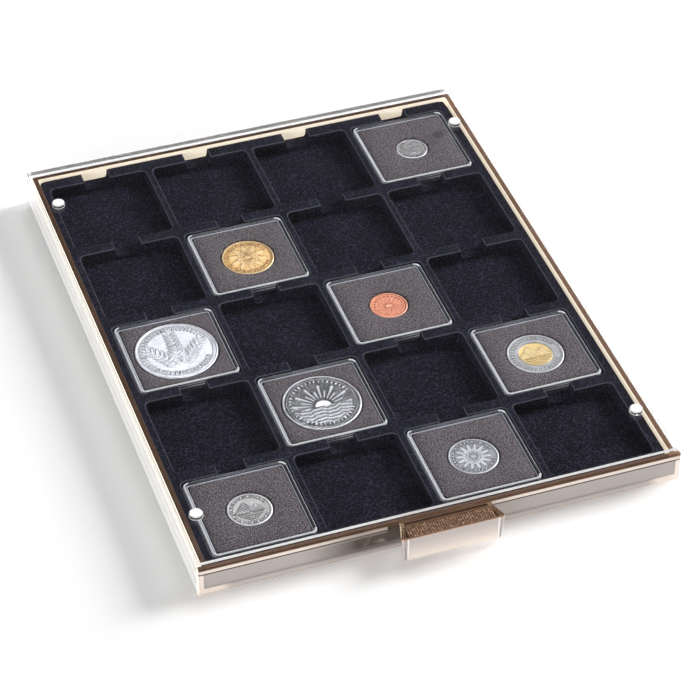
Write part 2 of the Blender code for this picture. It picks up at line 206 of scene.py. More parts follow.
looked_at = add_node(tree, "ShaderNodeMath", {"operation": "MAXIMUM"},
                     n0=path.outputs["Is Camera Ray"], n1=seen_through)
room = add_node(tree, "ShaderNodeBackground", Color=room_tone, Strength=1.0)
backdrop = add_node(tree, "ShaderNodeBackground", Color="FFFFFF", Strength=1.0)
both = add_node(tree, "ShaderNodeMixShader", Fac=looked_at, n1=room, n2=backdrop)
add_node(tree, "ShaderNodeOutputWorld", Surface=both)


def add_lamp(name, place, aim, width, height, power):
    """A white rectangular soft lamp that faces a point."""
    data = bpy.data.lights.new(name, "AREA")
    data.shape = "RECTANGLE"
    data.size, data.size_y = width, height
    data.energy = power
    lamp = bpy.data.objects.new(name, data)
    lamp.location = place
    lamp.rotation_euler = (Vector(aim) - Vector(place)).to_track_quat("-Z", "Y").to_euler()
    bpy.context.scene.collection.objects.link(lamp)


add_lamp("key_right", (3.0, 0.5, 1.7), (0.0, 0.0, 0.0), width=1.2, height=1.2, power=150)
add_lamp("shine_back", (0.45, 1.0, 1.75), (0.0, 0.0, 0.0), width=0.9, height=0.5, power=10.5)
add_lamp("front_fill", (-1.35, -1.1, 0.32), (0.0, -0.05, 0.0), width=1.2, height=0.5, power=19)

bpy.context.scene.view_settings.view_transform = "Standard"


# Housing. One clear injection-moulded polystyrene shell: cover, walls and runner lips. It
# bends and mirrors like glass; its rounded edges, the front edge of its cover and the tops of
# its pegs are painted white, as painted highlights where light comes out of the plastic.
def softened_copy(node, name, width, steps):
    """A copy of a CAD node with its sharp edges rounded over."""
    shell = bmesh.new()
    shell.from_mesh(nodes[node].data)
    bmesh.ops.remove_doubles(shell, verts=shell.verts, dist=1e-6)
    bmesh.ops.dissolve_limit(shell, angle_limit=math.radians(0.5), verts=shell.verts,
                             edges=shell.edges)
    data = bpy.data.meshes.new(name)
    shell.to_mesh(data)
    shell.free()
    made = bpy.data.objects.new(name, data)
    bpy.context.scene.collection.objects.link(made)
    rounding = made.modifiers.new("edges", "BEVEL")
    rounding.width, rounding.segments = width, steps
    rounding.limit_method, rounding.angle_limit = "ANGLE", math.radians(40)
    return made


def see_through(tree, tint, shade, roughness, ior, rays):
    """A body that bends and mirrors light, but lets some kinds of ray straight through."""
    body = add_node(tree, "ShaderNodeBsdfPrincipled", Base_Color=tint, Roughness=roughness,
                    IOR=ior, Transmission_Weight=1.0)
    path = add_node(tree, "ShaderNodeLightPath")
    through = add_node(tree, "ShaderNodeBsdfTransparent", Color=shade)
    for ray in rays:
        body = add_node(tree, "ShaderNodeMixShader", Fac=path.outputs[ray], n1=body, n2=through)
    return body, path, through


def clear_moulding(name, tint, ior, lit, veil):
    """A clear plastic with faint mould marks; its upright walls pass on light from inside."""
    made, tree = new_material(name)
    # The marks where the melt flowed are about 17 mm apart
    where = add_node(tree, "ShaderNodeTexCoord")
    flow = add_node(tree, "ShaderNodeTexNoise", Vector=where.outputs["Object"], Scale=60.0,
                    Detail=2.0)
    polish = add_node(tree, "ShaderNodeMapRange", Value=flow, From_Min=0.3, From_Max=0.7,
                      To_Min=0.0, To_Max=0.03)
    body, _, _ = see_through(tree, tint, tint, polish, ior, ("Is Shadow Ray", "Is Diffuse Ray"))
    carried_and_painted_light = add_node(tree, "ShaderNodeBsdfTranslucent", Color="FFFFFF")
    shape = add_node(tree, "ShaderNodeNewGeometry")
    facing = add_node(tree, "ShaderNodeSeparateXYZ", Vector=shape.outputs["True Normal"])
    up = add_node(tree, "ShaderNodeMath", {"operation": "ABSOLUTE"}, n0=facing.outputs["Z"])
    white = add_node(tree, "ShaderNodeBsdfDiffuse", Color="FFFFFF")
    haze = add_node(tree, "ShaderNodeMixShader", Fac=veil, n1=carried_and_painted_light, n2=white)
    upright = add_node(tree, "ShaderNodeMapRange", Value=up, From_Min=0.9, From_Max=0.3,
                       To_Min=0.0, To_Max=lit)
    whole = add_node(tree, "ShaderNodeMixShader", Fac=upright, n1=body, n2=haze)
    add_node(tree, "ShaderNodeOutputMaterial", Surface=whole)
    return made


def painted_white_edge(name, tint, ior, share):
    """The same plastic with a share of white, a painted highlight at rounded edges and rims."""
    made, tree = new_material(name)
    # The painted white comes in grains drawn 1.4 mm wide
    where = add_node(tree, "ShaderNodeTexCoord")
    grain = add_node(tree, "ShaderNodeTexNoise", Vector=where.outputs["Object"], Scale=700.0,
                     Detail=2.0)
    spread = add_node(tree, "ShaderNodeMapRange", Value=grain, From_Min=0.3, From_Max=0.7,
                      To_Min=share - 0.12, To_Max=min(share + 0.12, 1.0))
    body, _, _ = see_through(tree, tint, tint, 0.05, ior, ("Is Shadow Ray",))
    white = add_node(tree, "ShaderNodeBsdfDiffuse", Color="FFFFFF")
    carried_and_painted_light = add_node(tree, "ShaderNodeBsdfTranslucent", Color="FFFFFF")
    painted_edge_white = add_node(tree, "ShaderNodeMixShader", Fac=0.2, n1=white, n2=carried_and_painted_light)
    whole = add_node(tree, "ShaderNodeMixShader", Fac=spread, n1=body, n2=painted_edge_white)
    add_node(tree, "ShaderNodeOutputMaterial", Surface=whole)
    return made


clear_polystyrene = clear_moulding("clear_moulded_polystyrene", "FBFCFD", ior=1.45, lit=0.12,
                                   veil=0.5)
edge_highlight_polystyrene = painted_white_edge("matt_moulded_polystyrene", "FBFCFD", ior=1.45, share=0.88)
housing_low, housing_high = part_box("housing")
housing_shell = softened_copy("housing", "housing_shell", width=0.00025, steps=2)

# The front edge and the tops of the pegs are painted white with a faint glow, standing in for
# light carried inside the plastic
painted_glow_sheet_edge, tree = new_material("lit_sheet_edge_polystyrene")
where = add_node(tree, "ShaderNodeTexCoord")
grain = add_node(tree, "ShaderNodeTexNoise", Vector=where.outputs["Object"], Scale=500.0,
                 Detail=2.0)
tone = add_node(tree, "ShaderNodeValToRGB", Fac=grain, stops=((0.3, "F0F0F2"), (0.7, "FFFFFF")))
body = add_node(tree, "ShaderNodeBsdfPrincipled", Base_Color=tone, Roughness=0.35,
                Emission_Color="FFFFFF", Emission_Strength=0.1)
add_node(tree, "ShaderNodeOutputMaterial", Surface=body)
peg_polystyrene = clear_moulding("clear_peg_polystyrene", "F6F8FF", ior=1.45, lit=0.08, veil=0.2)

# The left wall, away from the key lamp, is painted pale with a faint glow for such light too.
# Grey lines are painted along it where the tray's floor and rim show through, and it is paler
# between them
lit_wall_polystyrene, tree = new_material("lit_wall_polystyrene")
where = add_node(tree, "ShaderNodeTexCoord")
place = add_node(tree, "ShaderNodeSeparateXYZ", Vector=where.outputs["Object"])
wall_height = 0.02
height = add_node(tree, "ShaderNodeMapRange", Value=place.outputs["Z"], From_Min=0.0,
                  From_Max=wall_height)
painted_wall_bands = ((0.0, "B8B8B8"), (0.03, "DEDEDE"), (0.26, "EAEAEA"), (0.28, "B0B0B0"),
              (0.3, "B0B0B0"), (0.32, "DCDCDC"), (0.66, "E0E0E0"), (0.68, "8A8480"),
              (0.705, "8A8480"), (0.725, "E0D8D0"), (0.84, "F4F4F4"))
tone = add_node(tree, "ShaderNodeValToRGB", stops=painted_wall_bands, Fac=height)
body = add_node(tree, "ShaderNodeBsdfPrincipled", Base_Color=tone, Roughness=0.15, IOR=1.45,
                Emission_Color="FFFFFF", Emission_Strength=0.04)
clear, _, _ = see_through(tree, "FBFCFD", "FBFCFD", 0.02, 1.45, ("Is Shadow Ray",))
whole = add_node(tree, "ShaderNodeMixShader", Fac=0.85, n1=clear, n2=body)
add_node(tree, "ShaderNodeOutputMaterial", Surface=whole)
dress(housing_shell, clear_polystyrene, edge_highlight_polystyrene, painted_glow_sheet_edge, peg_polystyrene,
      lit_wall_polystyrene)
housing_shell.modifiers["edges"].material = 1
peg_height, front_skin, wall_skin, squarely = 0.0018, 0.0001, 0.0003, 0.9
for face in housing_shell.data.polygons:
    at_front = face.center.y < housing_low[1] + front_skin and face.normal.y < -squarely
    on_peg = face.center.z > housing_high[2] - peg_height
    peg_top = on_peg and face.normal.z > squarely
    far_from_key = face.center.x < housing_low[0] + wall_skin and face.normal.x < -squarely
    face.material_index = (2 if at_front or peg_top else 3 if on_peg
                           else 4 if far_from_key else 0)
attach(housing_shell, "housing")
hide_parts("housing")


# Drawer. One smoke-tinted polystyrene moulding with its front panel and its pull. Its thin
# walls are painted pale and creamy, as they look against the light; the tops of its edges are
# painted dark brown, where the brown tint adds up seen down into them.
smoke, tree = new_material("smoke_moulded_polystyrene")
drawer_low, drawer_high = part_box("drawer")
panel_thickness, panel_skin, pull_gap, lip, rim_zone = 0.0028, 0.0006, 0.0008, 0.0013, 0.009
panel_top = drawer_high[2]
panel_front = housing_low[1] - panel_thickness
panel_half = housing_high[0]
times, most = {"operation": "MULTIPLY"}, {"operation": "MAXIMUM"}
below, above = {"operation": "LESS_THAN"}, {"operation": "GREATER_THAN"}
colours = {"data_type": "RGBA"}
where = add_node(tree, "ShaderNodeTexCoord")
place = add_node(tree, "ShaderNodeSeparateXYZ", Vector=where.outputs["Object"])
shape = add_node(tree, "ShaderNodeNewGeometry")
facing = add_node(tree, "ShaderNodeSeparateXYZ", Vector=shape.outputs["True Normal"])
clouds = add_node(tree, "ShaderNodeTexNoise", Vector=where.outputs["Object"], Scale=14.0,
                  Detail=2.0)
facing_up = add_node(tree, "ShaderNodeMapRange", Value=facing.outputs["Z"], From_Min=0.3,
                     From_Max=0.9)
near_top = add_node(tree, "ShaderNodeMath", above, n0=place.outputs["Z"], n1=rim_zone)
to_front = add_node(tree, "ShaderNodeMath", below, n0=facing.outputs["Y"], n1=-0.5)
before_panel = add_node(tree, "ShaderNodeMath", below, n0=place.outputs["Y"],
                        n1=panel_front + panel_skin)
front = add_node(tree, "ShaderNodeMath", times, n0=to_front, n1=before_panel)
inner_back = add_node(tree, "ShaderNodeMath", {"operation": "SUBTRACT"}, n0=to_front, n1=front)
to_left = add_node(tree, "ShaderNodeMath", below, n0=facing.outputs["X"], n1=-0.5)
behind_front = add_node(tree, "ShaderNodeMath", above, n0=place.outputs["Y"],
                        n1=panel_front + panel_skin)
inner_right = add_node(tree, "ShaderNodeMath", times, n0=to_left, n1=behind_front)
backlit = add_node(tree, "ShaderNodeMath", most, n0=inner_back, n1=inner_right)
on_pull = add_node(tree, "ShaderNodeMath", below, n0=place.outputs["Y"], n1=panel_front - pull_gap)
behind_lip = add_node(tree, "ShaderNodeMath", above, n0=place.outputs["Y"], n1=drawer_low[1] + lip)
in_pocket = add_node(tree, "ShaderNodeMath", above, n0=place.outputs["Z"], n1=panel_top - lip)
pocket_wall = add_node(tree, "ShaderNodeMath", times, n0=behind_lip, n1=in_pocket)
pocket_wall = add_node(tree, "ShaderNodeMath", times, n0=pocket_wall, n1=on_pull)
off_pocket = add_node(tree, "ShaderNodeMath", {"operation": "SUBTRACT"}, n0=1.0, n1=pocket_wall)
front = add_node(tree, "ShaderNodeMath", times, n0=front, n1=off_pocket)
up = add_node(tree, "ShaderNodeMath", times, n0=facing_up, n1=near_top)
up = add_node(tree, "ShaderNodeMath", most, n0=up, n1=pocket_wall)

# The tray's outline as seen through the panel is painted on its face: a pale strip on top, then
# the dark line of the tray's rim, and creamy bands of painted light at the ends and along the
# foot, where only one thickness of plastic holds it
height = add_node(tree, "ShaderNodeMapRange", Value=place.outputs["Z"], From_Min=0.0,
                  From_Max=panel_top)
panel_tone_and_painted_bands = ((0.0, "C4BCBB"), (0.24, "BCB4B3"), (0.262, "989190"), (0.278, "A8A1A0"),
               (0.776, "A69F9E"), (0.786, "2A2020"), (0.822, "2A2020"), (0.834, "EBDDD6"),
               (0.930, "E4D4CA"), (0.945, "5E4434"), (1.0, "4C3628"))
panel_tone = add_node(tree, "ShaderNodeValToRGB", stops=panel_tone_and_painted_bands, Fac=height)
end_wall, foot_length, foot_fade, foot_height, blur = 0.0024, 0.011, 0.005, 0.0041, 0.0003
from_middle = add_node(tree, "ShaderNodeMath", {"operation": "ABSOLUTE"}, n0=place.outputs["X"])
painted_end_glow = add_node(tree, "ShaderNodeMapRange", Value=from_middle,
                    From_Min=panel_half - end_wall - blur, From_Max=panel_half - end_wall)
foot_end = add_node(tree, "ShaderNodeMapRange", Value=from_middle,
                    From_Min=panel_half - foot_length - foot_fade,
                    From_Max=panel_half - foot_length)
foot_band = add_node(tree, "ShaderNodeMapRange", Value=place.outputs["Z"],
                     From_Min=foot_height + blur, From_Max=foot_height)
painted_foot_highlight = add_node(tree, "ShaderNodeMath", times, n0=foot_end, n1=foot_band)
painted_cream_light = add_node(tree, "ShaderNodeMath", most, n0=painted_end_glow, n1=painted_foot_highlight)
below_line = add_node(tree, "ShaderNodeMath", below, n0=height, n1=0.78)
painted_cream_light = add_node(tree, "ShaderNodeMath", times, n0=painted_cream_light, n1=below_line)
panel_face = add_node(tree, "ShaderNodeMix", colours, Factor=painted_cream_light, A=panel_tone, B="F4E6DE")

# Left of the pull's root a dark brown cloud of painted shade lies on the panel, on that side only,
# with a darker patch of painted shade next to the root
pull_front_half, pull_neck_half, corner_width = 0.0251, 0.0222, 0.005
cloud_fade, cloud_core, root_fade, root_core = 0.046, 0.02, 0.0062, 0.0054
by_root = add_node(tree, "ShaderNodeMapRange", Value=place.outputs["X"],
                   From_Min=-pull_neck_half - cloud_fade, From_Max=-pull_neck_half - cloud_core)
root_side = add_node(tree, "ShaderNodeMath", below, n0=place.outputs["X"], n1=0.0)
root_rise = add_node(tree, "ShaderNodeValToRGB", Fac=height,
                     stops=((0.12, 0.2), (0.38, 1.0), (0.7, 1.0), (0.77, 0.6)))
streaks = add_node(tree, "ShaderNodeTexNoise", Vector=where.outputs["Object"], Scale=160.0,
                   Detail=3.0)
streaky = add_node(tree, "ShaderNodeMapRange", Value=streaks, From_Min=0.3, From_Max=0.5,
                   To_Min=0.75)
painted_root_shade = by_root
for layer in (root_side, root_rise, streaky):
    painted_root_shade = add_node(tree, "ShaderNodeMath", times, n0=painted_root_shade, n1=layer)
panel_face = add_node(tree, "ShaderNodeMix", colours, Factor=painted_root_shade, A=panel_face, B="2C1C12")
at_root = add_node(tree, "ShaderNodeMapRange", Value=place.outputs["X"],
                   From_Min=-pull_neck_half - root_fade, From_Max=-pull_neck_half - root_core)
root_span = add_node(tree, "ShaderNodeMapRange", Value=height, From_Min=0.34, From_Max=0.42)
painted_root_dark = add_node(tree, "ShaderNodeMath", times, n0=at_root, n1=root_span)
painted_root_dark = add_node(tree, "ShaderNodeMath", times, n0=painted_root_dark, n1=root_side)
panel_face = add_node(tree, "ShaderNodeMix", colours, Factor=painted_root_dark, A=panel_face, B="20130A")

# The pull's front is pinkish above and creamy below, with a painted highlight line up each corner
# and painted shade on the facets beyond it
pull_face = add_node(tree, "ShaderNodeValToRGB", Fac=height,
                     stops=((0.25, "FFF2E6"), (0.5, "E2D6CF"), (0.8, "CABEBA")))
to_corner = add_node(tree, "ShaderNodeMapRange", Value=from_middle,
                     From_Min=pull_front_half - corner_width, From_Max=pull_front_half)
painted_corner_light = add_node(tree, "ShaderNodeValToRGB", Fac=to_corner,
                       stops=((0.36, "FFFCF8"), (0.46, "FFFCF8"), (0.52, "A89C98"),
                              (1.0, "CFC6C2")))
in_corner = add_node(tree, "ShaderNodeMapRange", Value=to_corner, From_Min=0.3, From_Max=0.36)
pull_face = add_node(tree, "ShaderNodeMix", colours, Factor=in_corner, A=pull_face, B=painted_corner_light)
pale = add_node(tree, "ShaderNodeMix", colours, Factor=on_pull, A=panel_face, B=pull_face)
# Faces other than the front are painted pale cream, as the thin walls look against the light
wall_or_front = add_node(tree, "ShaderNodeMix", colours, Factor=front, A="FFF6E8", B=pale)

# Seen from above, the walls' upper edges are painted dark brown, where the tint adds up; the right
# one's is painted redder and paler, as light from the right comes through it
right_wall = 0.006
painted_light_on_right = add_node(tree, "ShaderNodeMath", above, n0=place.outputs["X"],
                    n1=panel_half - right_wall)
wall_tint = add_node(tree, "ShaderNodeMix", colours, Factor=painted_light_on_right, A="40261A", B="A0705A")
edge_tint = add_node(tree, "ShaderNodeMix", colours, Factor=on_pull, A=wall_tint, B="B88C6C")
tint = add_node(tree, "ShaderNodeMix", colours, Factor=up, A=wall_or_front, B=edge_tint)
glass, path, through = see_through(tree, tint, "ECE8E6", 0.04, 1.5,
                                   ("Is Shadow Ray", "Is Diffuse Ray"))
# The solid share of the upper edges is painted dark brown too
edge_body = add_node(tree, "ShaderNodeValToRGB", Fac=clouds,
                     stops=((0.35, "2E1E18"), (0.65, "42302A")))
edge_body = add_node(tree, "ShaderNodeMix", colours, Factor=on_pull, A=edge_body, B="7C5A46")
edge_body = add_node(tree, "ShaderNodeMix", colours, Factor=pocket_wall, A=edge_body, B="2E1C12")
body_tone = add_node(tree, "ShaderNodeMix", colours, Factor=up, A=wall_or_front, B=edge_body)

# The inner faces of the back and right walls stand against the key lamp; they are painted pale and
# given a cream glow for its light, though they are no lamp
on_floor = add_node(tree, "ShaderNodeMath", {"operation": "SUBTRACT"}, n0=facing_up, n1=up)
carried_and_painted_light = add_node(tree, "ShaderNodeMath", times, n0=backlit, n1=0.7)
solid = add_node(tree, "ShaderNodeBsdfPrincipled", Base_Color=body_tone, Roughness=0.12, IOR=1.5,
                 Emission_Color="FFEFD4", Emission_Strength=carried_and_painted_light)
opaque_front = add_node(tree, "ShaderNodeMapRange", Value=front, To_Min=0.12, To_Max=0.85)
opaque_edge = add_node(tree, "ShaderNodeMapRange", Value=up, To_Min=0.0, To_Max=0.7)
opaque = add_node(tree, "ShaderNodeMath", most, n0=opaque_front, n1=opaque_edge)
opaque = add_node(tree, "ShaderNodeMath", most, n0=opaque, n1=on_floor)
painted_glow_wall = add_node(tree, "ShaderNodeMath", times, n0=backlit, n1=0.85)
opaque = add_node(tree, "ShaderNodeMath", most, n0=opaque, n1=painted_glow_wall)
whole = add_node(tree, "ShaderNodeMixShader", Fac=opaque, n1=glass, n2=solid)
whole = add_node(tree, "ShaderNodeMixShader", Fac=path.outputs["Is Shadow Ray"], n1=whole,
                 n2=through)
add_node(tree, "ShaderNodeOutputMaterial", Surface=whole)

# The rounded edges are drawn as thin brown lines; along the lip of the pull a painted orange
# highlight
smoke_edges, tree = new_material("smoke_polystyrene_edges")
where = add_node(tree, "ShaderNodeTexCoord")
place = add_node(tree, "ShaderNodeSeparateXYZ", Vector=where.outputs["Object"])
at_front = add_node(tree, "ShaderNodeMath", below, n0=place.outputs["Y"], n1=drawer_low[1] + lip)
at_top = add_node(tree, "ShaderNodeMath", above, n0=place.outputs["Z"], n1=panel_top - panel_skin)
painted_lip_highlight = add_node(tree, "ShaderNodeMath", times, n0=at_front, n1=at_top)
clouds = add_node(tree, "ShaderNodeTexNoise", Vector=where.outputs["Object"], Scale=90.0,
                  Detail=2.0)
edge_tone = add_node(tree, "ShaderNodeValToRGB", Fac=clouds,
                     stops=((0.35, "4A3226"), (0.65, "8A684E")))
edge_tone = add_node(tree, "ShaderNodeMix", colours, Factor=painted_lip_highlight, A=edge_tone, B="D9A06C")
body = add_node(tree, "ShaderNodeBsdfPrincipled", Base_Color=edge_tone, Roughness=0.15, IOR=1.5)
add_node(tree, "ShaderNodeOutputMaterial", Surface=body)

drawer_tray = softened_copy("drawer", "drawer_tray", width=0.0002, steps=2)
dress(drawer_tray, smoke, smoke_edges)
drawer_tray.modifiers["edges"].material = 1
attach(drawer_tray, "drawer")
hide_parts("drawer")


# Grip of the pull. Rounded ribs moulded across the shallow pocket on its top, so that a
# finger holds; they are of the drawer's own plastic, with painted glints for the light along
# their crests.
ribbed_smoke, tree = new_material("ribbed_smoke_polystyrene")
where = add_node(tree, "ShaderNodeTexCoord")
# The painted glints along a crest are drawn 1.1 mm long, as coarse as they need to show
painted_glints = add_node(tree, "ShaderNodeTexNoise", Vector=where.outputs["Object"], Scale=900.0,
                  Detail=2.0)
rib_tone = add_node(tree, "ShaderNodeValToRGB", Fac=painted_glints,
                    stops=((0.38, "68503F"), (0.52, "8C6A54"), (0.68, "CCA688")))
body = add_node(tree, "ShaderNodeBsdfPrincipled", Base_Color=rib_tone, Roughness=0.15, IOR=1.5)
add_node(tree, "ShaderNodeOutputMaterial", Surface=body)
rib_count, rib_pitch, rib_length, rib_radius = 36, 0.00117, 0.0066, 0.00052
lip_drop, pocket_depth, rib_behind = 0.0003, 0.0008, 0.0049
rib_middle = (0.0, drawer_low[1] + rib_behind, panel_top - lip_drop - pocket_depth)
rib_tree = bpy.data.node_groups.new("ribs_in_a_row", "GeometryNodeTree")
rib_tree.interface.new_socket("Geometry", in_out="INPUT", socket_type="NodeSocketGeometry")
rib_values = (("Count", "NodeSocketInt", rib_count), ("Pitch", "NodeSocketFloat", rib_pitch),
              ("Length", "NodeSocketFloat", rib_length), ("Radius", "NodeSocketFloat", rib_radius),
              ("Middle", "NodeSocketVector", rib_middle),
              ("Plastic", "NodeSocketMaterial", ribbed_smoke))
rib_inputs = {}
for name, kind, value in rib_values:
    rib_inputs[name] = rib_tree.interface.new_socket(name, in_out="INPUT", socket_type=kind)
rib_tree.interface.new_socket("Geometry", in_out="OUTPUT", socket_type="NodeSocketGeometry")
given = add_node(rib_tree, "NodeGroupInput")
half_count = add_node(rib_tree, "ShaderNodeMath", {"operation": "SUBTRACT"},
                      n0=given.outputs["Count"], n1=1.0)
half_span = add_node(rib_tree, "ShaderNodeMath", times, n0=half_count, n1=given.outputs["Pitch"])
half_span = add_node(rib_tree, "ShaderNodeMath", times, n0=half_span, n1=-0.5)
first_place = add_node(rib_tree, "ShaderNodeCombineXYZ", X=half_span)
first_place = add_node(rib_tree, "ShaderNodeVectorMath", {"operation": "ADD"}, n0=first_place,
                       n1=given.outputs["Middle"])
step_across = add_node(rib_tree, "ShaderNodeCombineXYZ", X=given.outputs["Pitch"])
places = add_node(rib_tree, "GeometryNodeMeshLine", Count=given.outputs["Count"],
                  Start_Location=first_place, Offset=step_across)
half_length = add_node(rib_tree, "ShaderNodeMath", times, n0=given.outputs["Length"], n1=0.5)
less_length = add_node(rib_tree, "ShaderNodeMath", times, n0=given.outputs["Length"], n1=-0.5)
rib_start = add_node(rib_tree, "ShaderNodeCombineXYZ", Y=less_length)
rib_end = add_node(rib_tree, "ShaderNodeCombineXYZ", Y=half_length)
rib_axis = add_node(rib_tree, "GeometryNodeCurvePrimitiveLine", Start=rib_start, End=rib_end)
rib_round = add_node(rib_tree, "GeometryNodeCurvePrimitiveCircle", Resolution=10,
                     Radius=given.outputs["Radius"])
rib_body = add_node(rib_tree, "GeometryNodeCurveToMesh", Curve=rib_axis, Profile_Curve=rib_round,
                    Fill_Caps=True)
row = add_node(rib_tree, "GeometryNodeInstanceOnPoints", Points=places, Instance=rib_body)
real = add_node(rib_tree, "GeometryNodeRealizeInstances", Geometry=row)
finish = add_node(rib_tree, "GeometryNodeSetMaterial", Geometry=real,
                  Material=given.outputs["Plastic"])
add_node(rib_tree, "NodeGroupOutput", Geometry=finish)


def grown(name, tree, inputs, values):
    """An object with the plain mesh that a node tree makes with these values."""
    seed = bpy.data.objects.new(name, bpy.data.meshes.new(name))
    bpy.context.scene.collection.objects.link(seed)
    grower = seed.modifiers.new("grower", "NODES")
    grower.node_group = tree
    for key, _, value in values:
        grower[inputs[key].identifier] = value
    whole = seed.evaluated_get(bpy.context.evaluated_depsgraph_get())
    made = bpy.data.meshes.new_from_object(whole)
    seed.modifiers.clear()
    seed.data = made
    return seed


pull_ribs = grown("pull_ribs", rib_tree, rib_inputs, rib_values)
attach(pull_ribs, "drawer")


# Insert. A thin sheet formed over 20 square compartments, with a finger notch behind each,
# and flocked with short navy nylon fibre. The pile rounds every edge and swallows light; a
# grey band painted along the top edges stands in for its bloom where it is seen along its tips.
cell, pitch_x, pitch_y = 0.0516, 0.0550, 0.0580
insert_left, insert_right, insert_front, insert_back = -0.11295, 0.11220, -0.14345, 0.15155
insert_top, cell_floor, notch_floor, insert_foot = 0.0147, 0.00765, 0.0096, 0.0040
edge_round, wall_draft, cell_corner, rim_corner = 0.0007, 0.0003, 0.0028, 0.0030
notch_half, notch_reach, cell_foot, notch_foot, sheet = 0.0068, 0.003, 0.0008, 0.0014, 0.0006
first_column, first_row, sharpness = -0.08328, 0.11843, 14
column_x = [first_column + n * pitch_x for n in range(4)]
row_y = [first_row - n * pitch_y for n in range(5)]


def fall(reach, depth, draft, foot):
    """Depth below the top at a distance inside an edge that is round above and below."""
    over = edge_round - np.sqrt(np.clip(edge_round ** 2 - (reach + edge_round) ** 2, 0, None))
    wall = edge_round + (depth - edge_round - foot) * reach / draft
    into = np.clip((reach - draft) / foot, 0, 1)
    base = depth - foot + foot * np.sqrt(1 - (1 - into) ** 2)
    return np.select([reach < -edge_round, reach < 0, reach < draft], [0, over, wall], base)


# The grid's lines, in millimetres from an edge, lie close where the sheet bends
near_edge = np.array([-0.7, -0.52, -0.35, -0.2, -0.08, 0.0, 0.1, 0.2, 0.3, 0.42, 0.6, 0.85,
                      1.1, 1.6, 2.2, 2.8]) / 1000
xs = [insert_left, insert_right]
ys = [insert_front, insert_back]
for step in (0.05, 0.15, 0.3, 0.5, 0.7):
    xs += [insert_left + step / 1000, insert_right - step / 1000]
    ys += [insert_front + step / 1000, insert_back - step / 1000]
for x in column_x:
    for side in (-1, 1):
        xs += list(x + side * (cell / 2 - near_edge))
        xs += list(x + side * (notch_half - near_edge[[1, 3, 5, 8, 10, 12]]))
    xs += [x, x - 0.015, x + 0.015]
for y in row_y:
    for side in (-1, 1):
        ys += list(y + side * (cell / 2 - near_edge))
    ys += list(y + np.linspace(-0.018, 0.018, 7))
xs = np.unique(np.round(xs, 6))
ys = np.unique(np.round(ys, 6))
grid_x, grid_y = np.meshgrid(xs, ys)

near_x = np.min([np.abs(grid_x - x) for x in column_x], axis=0)
near_y = np.min([np.abs(grid_y - y) for y in row_y], axis=0)
cells = fall(cell / 2 - np.maximum(near_x, near_y), insert_top - cell_floor, wall_draft,
             cell_foot)
behind = grid_y > row_y[-1] + cell / 2 - notch_reach
notches = fall(notch_half - near_x, insert_top - notch_floor, wall_draft, notch_foot) * behind
border = np.minimum(np.minimum(grid_x - insert_left, insert_right - grid_x),
                    np.minimum(grid_y - insert_front, insert_back - grid_y))
rim = edge_round - np.sqrt(np.clip(edge_round ** 2 - np.clip(edge_round - border, 0, None) ** 2,
                                   0, None))
drop = (cells ** sharpness + notches ** sharpness + 1e-60) ** (1 / sharpness)
grid_z = insert_top - np.maximum(drop, rim)


def bend(corner_x, corner_y, sign_x, sign_y, radius, outer):
    """Bend the grid round a corner, so that its square rings become arcs."""
    u = (grid_x - corner_x) * sign_x + radius
    v = (grid_y - corner_y) * sign_y + radius
    inside = (u > 1e-7) & (v > 1e-7) & (u < radius + outer) & (v < radius + outer)
    large, small = np.maximum(u, v), np.minimum(u, v)
    angle = np.pi / 4 * small / np.where(large > 0, large, 1)
    far, side = large * np.cos(angle), large * np.sin(angle)
    grid_x[inside] = (corner_x + (np.where(u >= v, far, side) - radius) * sign_x)[inside]
    grid_y[inside] = (corner_y + (np.where(u >= v, side, far) - radius) * sign_y)[inside]


for x in column_x:
    for y in row_y:
        for side_x, side_y in ((-1, -1), (-1, 1), (1, -1), (1, 1)):
            bend(x + side_x * cell / 2, y + side_y * cell / 2, side_x, side_y, cell_corner,
                 edge_round + 1e-5)
for x, side_x in ((insert_left, -1), (insert_right, 1)):
    for y, side_y in ((insert_front, -1), (insert_back, 1)):
        bend(x, y, side_x, side_y, rim_corner, 1e-5)

# One more ring of points runs down the outside as a skirt
grid_x, grid_y = (np.pad(g, 1, mode="edge") for g in (grid_x, grid_y))
grid_z = np.pad(grid_z, 1, constant_values=insert_foot)
count_y, count_x = grid_x.shape


def add_mesh(name, points, faces, smooth=True):
    """An object from points and faces."""
    data = bpy.data.meshes.new(name)
    data.from_pydata([tuple(p) for p in points], [], [tuple(f) for f in faces])
    data.polygons.foreach_set("use_smooth", [smooth] * len(data.polygons))
    made = bpy.data.objects.new(name, data)
    bpy.context.scene.collection.objects.link(made)
    return made


numbers = np.arange(count_x * count_y).reshape(count_y, count_x)
quads = np.stack([numbers[:-1, :-1], numbers[:-1, 1:], numbers[1:, 1:], numbers[1:, :-1]], -1)
flocked_insert = add_mesh("flocked_insert",
                          np.stack([grid_x, grid_y, grid_z], -1).reshape(-1, 3).tolist(),
                          quads.reshape(-1, 4).tolist())
merged = bmesh.new()
merged.from_mesh(flocked_insert.data)
bmesh.ops.remove_doubles(merged, verts=merged.verts, dist=1e-7)
merged.to_mesh(flocked_insert.data)
merged.free()
thick = flocked_insert.modifiers.new("sheet", "SOLIDIFY")
thick.thickness, thick.offset = sheet, -1

velvet, tree = new_material("flocked_navy_velvet")
where = add_node(tree, "ShaderNodeTexCoord")
